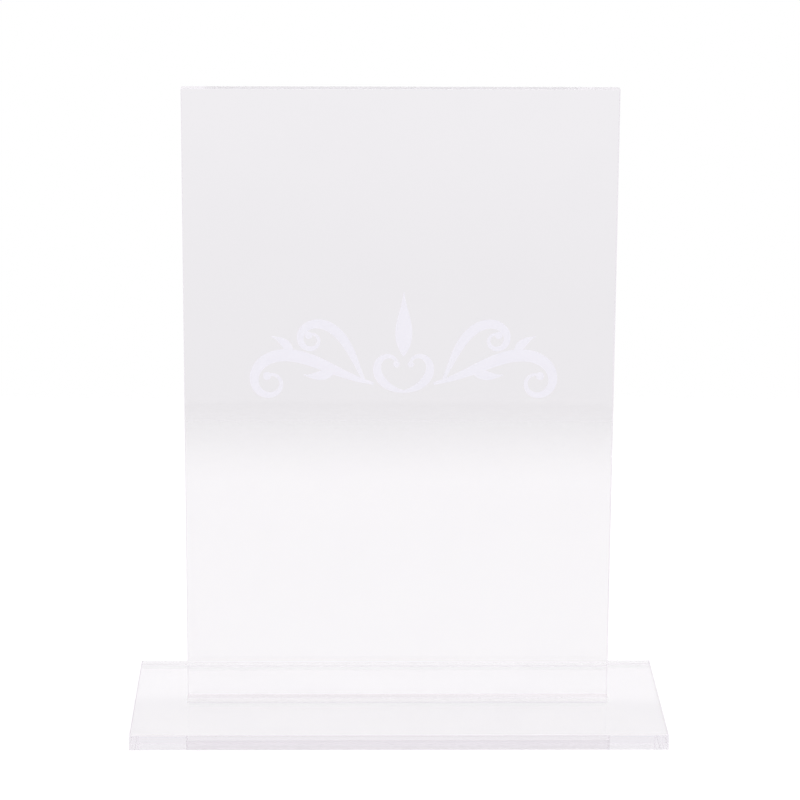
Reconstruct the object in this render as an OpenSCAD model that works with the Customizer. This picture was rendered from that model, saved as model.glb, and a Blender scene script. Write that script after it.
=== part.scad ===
// Table sign stand: a clear upright panel dropped into a slotted clear base, with an
// ornament of white cut film on the front of the panel.
// Millimetres. Z is up, the front faces -Y, and the origin is the middle of the
// underside of the base.

/* [Sheet] */
// Thickness of the clear sheet that the base and the panel are cut from
sheet_t = 5.6; // [4:0.1:8]
// Size of the small flat arris taken off every outer edge
arris = 0.12; // [0.1:0.01:0.4]

/* [Base] */
// Width of the base plate
base_w = 190; // [176:1:240]
// Depth of the base plate from front to back
base_d = 78; // [50:1:110]

/* [Panel] */
// Width of the upright panel
panel_w = 152; // [130:1:158]
// Height of the upright panel, with the part inside the slot
panel_h = 228.6; // [180:0.1:300]
// Distance of the slot behind the middle of the base
slot_back = 1.8; // [0:0.1:5]
// Clearance between the panel and each wall of the slot
slot_gap = 0.15; // [0.05:0.05:0.4]

/* [Ornament] */
// Width of the whole ornament
ornament_w = 108.6; // [90:0.1:120]
// Distance of the ornament to the right of the panel's middle
ornament_x = 1.5; // [0:0.1:3]
// Height of the ornament's middle above the table
ornament_z = 137; // [100:0.5:150]
// Thickness of the white film
film_t = 0.15; // [0.1:0.05:0.4]
// Thickness of the adhesive behind the film, left as a gap
glue_t = 0.02; // [0.01:0.01:0.05]

/* [Hidden] */

clear_sheet = [0.90, 0.92, 0.96, 0.35];
white_film = [0.95, 0.94, 0.98];

// The ornament is drawn at its own size, 108.6 wide, and unit scales it
drawn_w = 108.6;
unit = ornament_w / drawn_w;
panel_front_y = slot_back - sheet_t / 2;
cut_margin = 1;

// Stations along a stroke, closer together where its end curls tightly
stations = 60;
crowding = 0.7;
dot_fn = 40;

// Width of the pen at its tip, and where along a stroke it is widest
pen_tip = 0.9;
pen_peak = 0.42;
leaf_tip = 0.3;
leaf_peak = 0.45;
drop_tip = 0.4;
drop_peak = 0.36;

module arris_outline(width, height) {
    x = width / 2;
    y = height / 2;
    polygon([
        [x - arris, -y], [x, arris - y], [x, y - arris], [x - arris, y],
        [arris - x, y], [-x, y - arris], [-x, arris - y], [arris - x, -y]
    ]);
}

// A sheet standing on z = 0 with an arris along each of its twelve edges
module arris_sheet(width, depth, height) {
    intersection() {
        linear_extrude(height) arris_outline(width, depth);
        translate([0, depth / 2, height / 2]) rotate([90, 0, 0])
            linear_extrude(depth) arris_outline(width, height);
        translate([-width / 2, 0, height / 2]) rotate([90, 0, 90])
            linear_extrude(width) arris_outline(depth, height);
    }
}

module base_plate() {
    slot_w = panel_w + 2 * slot_gap;
    slot_d = sheet_t + 2 * slot_gap;
    color(clear_sheet)
        difference() {
            arris_sheet(base_w, base_d, sheet_t);
            translate([-slot_w / 2, slot_back - slot_d / 2, -cut_margin])
                cube([slot_w, slot_d, sheet_t + 2 * cut_margin]);
        }
}

module display_panel() {
    color(clear_sheet)
        translate([0, slot_back, 0])
            arris_sheet(panel_w, sheet_t, panel_h);
}

// A stroke's heading in degrees, u from 0 to 1: it starts at h0, bends, then curls
function heading(u, h0, bend, curl) = h0 + bend * u + curl * pow(u, 3);
function along(i) = pow(i / stations, crowding);
function direction(angle) = [cos(angle), sin(angle)];
function centre_line(start, length, h0, bend, curl) =
    [for (i = 0, p = start; i <= stations; i = i + 1,
          p = p + length * (along(i) - along(i - 1))
              * direction(heading((along(i) + along(i - 1)) / 2, h0, bend, curl))) p];

// Half the pen's width at u: thin at both ends and full at u = peak
function half_width(u, thin, full, peak) =
    (thin + (full - thin) * pow(sin(180 * pow(u, ln(0.5) / ln(peak))), 1.5)) / 2;

// One pen stroke in film, lying on z = 0, with a round dot of radius dot on its end
module stroke(start, length, h0, bend = 0, curl = 0, full, thin = pen_tip, peak = pen_peak,
              dot = 0) {
    line = centre_line(start, length, h0, bend, curl);
    function edge(i, side) = line[i] + side * half_width(along(i), thin, full, peak)
        * direction(heading(along(i), h0, bend, curl) + 90);
    left = [for (i = [0:stations]) edge(i, 1) * unit];
    right = [for (i = [stations:-1:0]) edge(i, -1) * unit];
    linear_extrude(film_t) polygon(concat(left, right));
    if (dot > 0)
        translate(line[stations] * unit) cylinder(film_t, r = dot * unit, $fn = dot_fn);
}

module leaf(start, length, h0, bend, full) {
    stroke(start, length, h0, bend, full = full, thin = leaf_tip, peak = leaf_peak);
}

// Right half of the scrollwork: a long scroll, a short one that springs from it, two leaves
module scroll() {
    stroke([10.6, -13.5], length = 71, h0 = 13, bend = 75, curl = -482, full = 4.4, dot = 1.4);
    stroke([14, -12.3], length = 52, h0 = 66, bend = 10, curl = -470, full = 3.4, dot = 1.3);
    leaf([23, -7.6], length = 13, h0 = -40, bend = 55, full = 3.4);
    leaf([39, -3.8], length = 11, h0 = 75, bend = -60, full = 3);
}

module loop_half() {
    stroke([0, -16.4], length = 25, h0 = 8, bend = 100, curl = 170, full = 3, dot = 1.1);
}

// Stands strokes drawn lying down against the front of the panel
module film() {
    color(white_film)
        translate([ornament_x, panel_front_y - glue_t, ornament_z])
            rotate([90, 0, 0]) children();
}

module scroll_right() {
    film() scroll();
}

module scroll_left() {
    film() mirror([1, 0, 0]) scroll();
}

module centre_loop() {
    film() {
        loop_half();
        mirror([1, 0, 0]) loop_half();
    }
}

module centre_drop() {
    film() stroke([0, -3.5], length = 23, h0 = 90, full = 6, thin = drop_tip, peak = drop_peak);
}

base_plate();
display_panel();
scroll_left();
scroll_right();
centre_loop();
centre_drop();
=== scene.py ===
"""Clear acrylic table sign stand: materials, floor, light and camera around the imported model.

Metres, in the model's own frame: +Z up, the front faces -Y, the table is at z = 0.
"""
import math

import bpy
from mathutils import Euler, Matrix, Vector


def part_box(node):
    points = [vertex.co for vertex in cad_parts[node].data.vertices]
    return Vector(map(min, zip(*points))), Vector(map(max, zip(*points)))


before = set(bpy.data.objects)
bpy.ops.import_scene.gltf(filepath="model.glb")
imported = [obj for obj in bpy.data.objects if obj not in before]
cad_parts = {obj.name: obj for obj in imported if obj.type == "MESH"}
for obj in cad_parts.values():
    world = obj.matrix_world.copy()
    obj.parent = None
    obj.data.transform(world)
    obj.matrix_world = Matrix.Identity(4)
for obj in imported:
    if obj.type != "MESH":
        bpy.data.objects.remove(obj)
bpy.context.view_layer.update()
MM = 0.001

FILM_NODES = ("scroll_left", "scroll_right", "centre_loop", "centre_drop")
WHITE = (1.0, 1.0, 1.0, 1.0)
NOISE_RANGE = (0.3, 0.7)

# Clear acrylic: tints of its faces and cut edges, painted shade on its slot walls, and what light loses on
# the way through
ACRYLIC_IOR = 1.49
FACE_TINT = (0.995, 0.995, 0.995, 1.0)
EDGE_TINT = (0.97, 0.965, 0.97, 1.0)
SLOT_SHADE_TINT = (0.945, 0.93, 0.94, 1.0)
SLOT_REACH = 0.5 * MM
ABSORBED_PER_METRE = 0.6
PASSED_COLOUR = (0.32, 0.25, 0.55, 1.0)
# The cosines between which it turns from edge to face, from arris to flat and from side to top
EDGE_TURN = (0.8, 0.95)
ARRIS_TURN = (0.75, 0.95)
TOP_TURN = (0.9, 0.98)
# A cut edge that faces up is satin, and arrises are frosted
TOP_FROST = 0.6
ARRIS_ROUGHNESS = 0.5
ARRIS_FROST = 0.85
ARRIS_GLOW = 0.95
ARRIS_TINT = (0.89, 0.86, 0.89, 1.0)
# Saw lines on the cut edges
SAW_LINES = 2400.0
SAW_STRETCH = 40.0
SAW_DEPTH = 0.0006 * MM
EDGE_ROUGHNESS = (0.02 / 3, 0.02)
# Haze of smudges on the faces
HAZE_SCALE = 35.0
HAZE_RANGE = (0.45, 0.75)
HAZE_ROUGHNESS = 0.012
HAZE_TINT = (0.985, 0.985, 0.987, 1.0)
# Darker line on the panel's front, at these heights above the slot's mouth: its foot fades out
# gently, its top is sharper, and it ends at the middle of the panel's thickness
MOUTH_BAND_TINT = (0.895, 0.875, 0.86, 1.0)
MOUTH_BAND_FROM = 0.45 * MM
MOUTH_BAND_TO = 1.3 * MM
MOUTH_BAND_FADE = 0.45 * MM
MOUTH_BAND_TOP_FADE = MOUTH_BAND_FADE / 4
MOUTH_BAND_FRONT_FADE = 1 * MM
MOUTH_BAND_UNDER_HAZE = 0.7

# White film
FILM_SHADE = (0.907, 0.907, 0.955, 1.0)
FILM_LIGHT = (0.948, 0.943, 0.99, 1.0)
FILM_ROUGHNESS = (0.38, 0.5)
FILM_CLOUD_SCALE = 60.0
FILM_PEEL_SCALE = 2500.0
FILM_PEEL_DEPTH = 0.01 * MM

# Camera: turned from straight ahead by its yaw, tipped down by its pitch
CAMERA_PLACE = Vector((-20.9, -1141.6, 427.5)) * MM
CAMERA_PITCH = 0.26536
CAMERA_YAW = 0.01857
CAMERA_ROLL = 0.0054
CAMERA_CLIP = (0.05, 20.0)
SENSOR_W = 36.0
LENS_OVER_WIDTH = 3340.4 / 800

# Floor: half its sides, and how far out its paper is solid before it fades away
FLOOR_DEPTH = 452 * MM
FLOOR_WIDTH = 600 * MM
FLOOR_SOLID = 285 * MM
FLOOR_GAP = 0.3 * MM
PAPER_SHADE = (0.917, 0.918, 0.912, 1.0)
PAPER_LIGHT = (0.937, 0.938, 0.932, 1.0)
PAPER_GRAIN = 900.0
PAPER_ROUGHNESS = 0.9
RIM_SHADE = 0.032
RIM_SHADE_IN = 0.5 * MM
RIM_SHADE_OUT = 30 * MM
CAMERA_LIFT = 0.2

# Studio greys by height (the Z of a direction), in front of and behind the object
LIGHT_TONE = (1.02, 1.0, 1.028)
FRONT_GREYS = ((-0.25, 0.90), (0.20, 0.91), (0.35, 0.88), (0.80, 0.87), (1.00, 1.135))
BACK_GREYS = ((-0.40, 0.60), (-0.29, 0.79), (-0.27, 0.816), (-0.225, 0.829), (-0.19, 0.852),
              (0.0, 0.92), (0.20, 0.93), (0.31, 1.00), (0.70, 1.10), (1.00, 1.135))
SIDE_BLEND = 0.3
# The wall behind has two edges: it is a little darker just above the upper one and below the lower
WALL_TOP = 0.3465
WALL_TOP_DROP = 0.12
WALL_TOP_FADE = (0.01, 0.07)
WALL_FOOT = -0.2628
WALL_FOOT_DROP = 0.033
WALL_EDGE = 0.0008
KEY_SIZE = 800 * MM
KEY_WATTS = 0.3
KEY_PLACE = Vector((0, -1200, 900)) * MM


class Nodes:
    """A small helper that adds and links nodes in one material's or world's tree."""

    def __init__(self, owner):
        owner.use_nodes = True
        self.tree = owner.node_tree
        self.tree.nodes.clear()

    def add(self, kind, inputs=None, **settings):
        """A node with its settings, and its inputs linked or set."""
        node = self.tree.nodes.new("ShaderNode" + kind)
        for name, value in settings.items():
            setattr(node, name, value)
        for key, value in (inputs or {}).items():
            if isinstance(value, bpy.types.NodeSocket):
                self.tree.links.new(value, node.inputs[key])
            else:
                node.inputs[key].default_value = value
        return node

    def math(self, operation, a, b=0.0):
        return self.add("Math", {0: a, 1: b}, operation=operation).outputs[0]

    def vector(self, operation, a, b=None):
        inputs = {0: a} if b is None else {0: a, 1: b}
        return self.add("VectorMath", inputs, operation=operation).outputs[0]

    def axes(self, vector):
        return self.add("SeparateXYZ", {0: vector}).outputs

    def scaled(self, colour, factor):
        """colour times factor. 3 is the scale's socket."""
        return self.add("VectorMath", {0: colour, 3: factor}, operation="SCALE").outputs[0]

    def blend(self, factor, a, b):
        """Colour a at factor 0 and b at 1. 6 and 7 are the colours' sockets."""
        return self.add("Mix", {0: factor, 6: a, 7: b}, data_type="RGBA").outputs[2]

    def noise(self, vector, scale, detail=2.0, roughness=0.5):
        node = self.add("TexNoise", {"Vector": vector, "Scale": scale, "Detail": detail,
                                     "Roughness": roughness})
        return node.outputs["Fac"]

    def within(self, place, low, high):
        """1 inside the box from low to high, seen from above, and 0 outside it."""
        axes = self.axes(place)
        inside = 1.0
        for axis in (0, 1):
            for sign, limit in ((1, low[axis]), (-1, -high[axis])):
                step = self.math("GREATER_THAN", self.math("MULTIPLY", axes[axis], sign), limit)
                inside = self.math("MULTIPLY", step, inside)
        return inside

    def spread(self, value, low, high, out_low, out_high, smooth=False):
        """value taken from low and high to out_low and out_high, and held there beyond them."""
        node = self.add("MapRange", {"Value": value, "From Min": low, "From Max": high,
                                     "To Min": out_low, "To Max": out_high})
        node.interpolation_type = "SMOOTHSTEP" if smooth else "LINEAR"
        return node.outputs[0]


def clear_acrylic(name, face_axis, slot=None, mouth=None):
    """Polished clear sheet with cut edges, frosted arrises and slot walls darkened with painted shade.

    face_axis is the axis across its thickness, 1 for Y and 2 for Z. slot is the slot's box. mouth is
    a point level with the slot's mouth in the middle of the sheet that stands in it: the sheet's
    front is a little darker just above it.
    """
    material = bpy.data.materials.new(name)
    nodes = Nodes(material)
    place = nodes.add("TexCoord").outputs["Object"]
    geometry = nodes.add("NewGeometry").outputs
    normal = geometry["Normal"]
    facing = nodes.axes(nodes.vector("ABSOLUTE", normal))
    edge = nodes.spread(facing[face_axis], *EDGE_TURN, 1.0, 0.0)
    squarest = nodes.math("MAXIMUM", facing[0], nodes.math("MAXIMUM", facing[1], facing[2]))
    arris = nodes.spread(squarest, *ARRIS_TURN, 1.0, 0.0)
    upward = nodes.spread(nodes.axes(normal)[2], *TOP_TURN, 0.0, 1.0)
    satin = nodes.math("MULTIPLY", nodes.math("MULTIPLY", edge, upward), TOP_FROST)
    frost = nodes.math("MAXIMUM", satin, nodes.math("MULTIPLY", arris, ARRIS_FROST))
    # Fine saw lines run across the thickness of every cut edge
    stretch = [SAW_LINES] * 3
    stretch[face_axis] = SAW_LINES / SAW_STRETCH
    lines = nodes.noise(nodes.vector("MULTIPLY", place, stretch), 1.0, detail=1.0)
    cut = nodes.math("MULTIPLY", edge, nodes.spread(lines, *NOISE_RANGE, *EDGE_ROUGHNESS))
    rough = nodes.math("MAXIMUM", cut, nodes.math("MULTIPLY", arris, ARRIS_ROUGHNESS))
    bump = nodes.add("Bump", {"Height": nodes.math("MULTIPLY", lines, edge), "Distance": SAW_DEPTH,
                              "Strength": 1.0})
    # Handling leaves a barely visible haze of smudges on the polished faces
    smudges = nodes.noise(place, HAZE_SCALE, detail=4.0, roughness=0.6)
    haze = nodes.spread(smudges, *HAZE_RANGE, 0.0, 1.0)
    rough = nodes.math("MAXIMUM", rough, nodes.math("MULTIPLY", haze, HAZE_ROUGHNESS))
    tint = nodes.blend(edge, nodes.blend(haze, FACE_TINT, HAZE_TINT), EDGE_TINT)
    # A darker band on the sheet's front just above the slot's mouth
    if mouth:
        away = nodes.axes(nodes.vector("SUBTRACT", place, mouth))
        above = nodes.spread(away[2], MOUTH_BAND_FROM - MOUTH_BAND_FADE, MOUTH_BAND_FROM, 0.0, 1.0)
        below = nodes.spread(away[2], MOUTH_BAND_TO, MOUTH_BAND_TO + MOUTH_BAND_TOP_FADE, 1.0, 0.0)
        in_front = nodes.spread(away[1], -MOUTH_BAND_FRONT_FADE, MOUTH_BAND_FRONT_FADE, 1.0, 0.0)
        dark_band = nodes.math("MULTIPLY", nodes.math("MULTIPLY", above, below), in_front)
        dark_band = nodes.math("MULTIPLY", dark_band, nodes.spread(haze, 0.0, 1.0, 1.0, MOUTH_BAND_UNDER_HAZE))
        tint = nodes.blend(dark_band, tint, MOUTH_BAND_TINT)
    # Painted shade: the slot walls are tinted darker where the panel stands in them
    if slot:
        inside_slot = nodes.math("MULTIPLY", edge, nodes.within(place, *slot))
        tint = nodes.blend(inside_slot, tint, SLOT_SHADE_TINT)
    shader = nodes.add("BsdfPrincipled", {
        "Base Color": tint, "IOR": ACRYLIC_IOR,
        "Transmission Weight": nodes.math("SUBTRACT", 1.0, frost),
        "Roughness": rough, "Normal": bump.outputs[0]})
    # Seen from inside the sheet, a frosted arris glows with the light that falls on it
    glow = nodes.math("MULTIPLY", nodes.math("MULTIPLY", arris, geometry["Backfacing"]), ARRIS_GLOW)
    lit = nodes.add("BsdfTranslucent", {"Color": ARRIS_TINT})
    surface = nodes.add("MixShader", {0: glow, 1: shader.outputs[0], 2: lit.outputs[0]})
    inside = nodes.add("VolumeAbsorption", {"Color": PASSED_COLOUR, "Density": ABSORBED_PER_METRE})
    nodes.add("OutputMaterial", {"Surface": surface.outputs[0], "Volume": inside.outputs[0]})
    return material


def white_film(name):
    """Satin white cut vinyl with a faint mottle and an orange-peel surface."""
    material = bpy.data.materials.new(name)
    nodes = Nodes(material)
    place = nodes.add("TexCoord").outputs["Object"]
    cloud = nodes.noise(place, FILM_CLOUD_SCALE, detail=3.0)
    peel = nodes.noise(place, FILM_PEEL_SCALE, detail=1.0)
    bump = nodes.add("Bump", {"Height": peel, "Distance": FILM_PEEL_DEPTH, "Strength": 0.5})
    shader = nodes.add("BsdfPrincipled", {
        "Base Color": nodes.blend(cloud, FILM_SHADE, FILM_LIGHT),
        "Roughness": nodes.spread(cloud, *NOISE_RANGE, *FILM_ROUGHNESS),
        "Normal": bump.outputs[0]})
    nodes.add("OutputMaterial", {"Surface": shader.outputs[0]})
    return material


def floor_paper():
    """Pale paper that fades away before its rim, and is lifted to white where it is seen directly."""
    material = bpy.data.materials.new("floor_paper")
    nodes = Nodes(material)
    place = nodes.add("TexCoord").outputs["Object"]
    grain = nodes.noise(place, PAPER_GRAIN)
    # The base's rim shades the paper round it
    low, high = (Vector(corner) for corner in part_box("base_plate"))
    from_middle = nodes.vector("ABSOLUTE", nodes.vector("SUBTRACT", place, (low + high) / 2))
    past_rim = nodes.axes(nodes.vector("SUBTRACT", from_middle, (high - low) / 2))
    out = nodes.math("MAXIMUM", past_rim[0], past_rim[1])
    lit = nodes.math("MAXIMUM", nodes.spread(out, -RIM_SHADE_IN, 0.0, 1.0, 1.0 - RIM_SHADE),
                     nodes.spread(out, 0.0, RIM_SHADE_OUT, 1.0 - RIM_SHADE, 1.0))
    colour = nodes.scaled(nodes.blend(grain, PAPER_SHADE, PAPER_LIGHT), lit)
    shader = nodes.add("BsdfPrincipled", {"Base Color": colour, "Roughness": PAPER_ROUGHNESS,
                                          "Specular IOR Level": 0.0})
    away = nodes.axes(nodes.vector("ABSOLUTE", place))
    sideways = nodes.math("MULTIPLY", away[0], FLOOR_DEPTH / FLOOR_WIDTH)
    reach = nodes.math("MAXIMUM", away[1], sideways)
    gone = nodes.spread(reach, FLOOR_SOLID, FLOOR_DEPTH, 0.0, 1.0, smooth=True)
    clear = nodes.add("BsdfTransparent")
    seen = nodes.add("LightPath").outputs["Is Camera Ray"]
    lift = nodes.add("Emission", {"Color": WHITE, "Strength": nodes.math("MULTIPLY", seen, CAMERA_LIFT)})
    paper = nodes.add("AddShader", {0: shader.outputs[0], 1: lift.outputs[0]})
    faded = nodes.add("MixShader", {0: gone, 1: paper.outputs[0], 2: clear.outputs[0]})
    nodes.add("OutputMaterial", {"Surface": faded.outputs[0]})
    return material


def dress(node, material):
    """Give a CAD node one material."""
    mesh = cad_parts[node].data
    mesh.materials.clear()
    mesh.materials.append(material)


def make_floor():
    """The paper that the base lies on, a stage piece."""
    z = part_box("base_plate")[0][2] - FLOOR_GAP
    corners = [(x * FLOOR_WIDTH, y * FLOOR_DEPTH, z) for x, y in ((-1, -1), (1, -1), (1, 1), (-1, 1))]
    mesh = bpy.data.meshes.new("floor")
    mesh.from_pydata(corners, [], [(0, 1, 2, 3)])
    floor = bpy.data.objects.new("floor", mesh)
    bpy.context.scene.collection.objects.link(floor)
    mesh.materials.append(floor_paper())


def grey_ramp(nodes, height, stops):
    """The studio's grey at a height from -1 to 1, by its (height, grey) stops."""
    ramp = nodes.add("ValToRGB", {0: nodes.spread(height, -1.0, 1.0, 0.0, 1.0)})
    elements = ramp.color_ramp.elements
    while len(elements) < len(stops):
        elements.new(0.5)
    for element, (z, value) in zip(elements, stops):
        element.position = (z + 1) / 2
        element.color = tuple(value * tone for tone in LIGHT_TONE) + (1,)
    return ramp.outputs[0]


def make_world():
    """White to the camera, and a studio of soft greys to light, reflections and refractions."""
    world = bpy.data.worlds.new("studio")
    bpy.context.scene.world = world
    nodes = Nodes(world)
    direction = nodes.axes(nodes.add("TexCoord").outputs["Generated"])
    height = direction[2]
    behind = nodes.spread(direction[1], -SIDE_BLEND, SIDE_BLEND, 0.0, 1.0, smooth=True)
    fade_from, fade_to = WALL_TOP_FADE
    above = nodes.math("MULTIPLY", nodes.spread(height, WALL_TOP - WALL_EDGE, WALL_TOP + WALL_EDGE, 0.0, 1.0),
                       nodes.spread(height, WALL_TOP + fade_from, WALL_TOP + fade_to, 1.0, 0.0))
    foot = nodes.spread(height, WALL_FOOT - WALL_EDGE, WALL_FOOT + WALL_EDGE, 1.0 - WALL_FOOT_DROP, 1.0)
    lit = nodes.math("MULTIPLY", nodes.spread(above, 0.0, 1.0, 1.0, 1.0 - WALL_TOP_DROP), foot)
    wall = nodes.scaled(grey_ramp(nodes, height, BACK_GREYS), lit)
    room = nodes.blend(behind, grey_ramp(nodes, height, FRONT_GREYS), wall)
    seen = nodes.add("LightPath").outputs["Is Camera Ray"]
    colour = nodes.blend(seen, room, WHITE)
    back = nodes.add("Background", {"Color": colour, "Strength": 1.0})
    nodes.add("OutputWorld", {"Surface": back.outputs[0]})


def make_key():
    """A large soft lamp in front and above, aimed at the origin."""
    lamp = bpy.data.lights.new("key", "AREA")
    lamp.size = KEY_SIZE
    lamp.energy = KEY_WATTS
    key = bpy.data.objects.new("key", lamp)
    key.location = KEY_PLACE
    key.rotation_mode = "QUATERNION"
    key.rotation_quaternion = (-key.location).to_track_quat("-Z", "Y")
    bpy.context.scene.collection.objects.link(key)


def make_camera():
    """The camera that the photo was taken with, as solved from the object's corners."""
    data = bpy.data.cameras.new("camera")
    data.sensor_width = SENSOR_W
    data.lens = LENS_OVER_WIDTH * SENSOR_W
    data.clip_start, data.clip_end = CAMERA_CLIP
    camera = bpy.data.objects.new("camera", data)
    camera.location = CAMERA_PLACE
    turn = Euler((0, 0, -CAMERA_YAW)).to_matrix()
    tip = Euler((math.pi / 2 - CAMERA_PITCH, 0, 0)).to_matrix()
    roll = Euler((0, 0, CAMERA_ROLL)).to_matrix()
    camera.rotation_mode = "QUATERNION"
    camera.rotation_quaternion = (turn @ tip @ roll).to_quaternion()
    bpy.context.scene.collection.objects.link(camera)
    bpy.context.scene.camera = camera


def set_cycles():
    """Plain tones, and enough bounces for the light that the sheets guide from edge to edge."""
    scene = bpy.context.scene
    scene.view_settings.view_transform = "Standard"
    scene.cycles.max_bounces = 64
    scene.cycles.transmission_bounces = 24
    scene.cycles.glossy_bounces = 48
    scene.cycles.diffuse_bounces = 6
    scene.cycles.blur_glossy = 0.0


make_camera()
panel_low, panel_high = (Vector(corner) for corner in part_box("display_panel"))
reach = Vector((SLOT_REACH, SLOT_REACH, 0))
base_sheet = clear_acrylic("base_sheet", 2, (panel_low - reach, panel_high + reach))
mouth = (panel_low + panel_high) / 2
mouth.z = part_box("base_plate")[1][2]
panel_sheet = clear_acrylic("panel_sheet", 1, mouth=mouth)
film = white_film("white_film")
dress("base_plate", base_sheet)
dress("display_panel", panel_sheet)
for node in FILM_NODES:
    dress(node, film)
make_floor()
make_world()
make_key()
set_cycles()
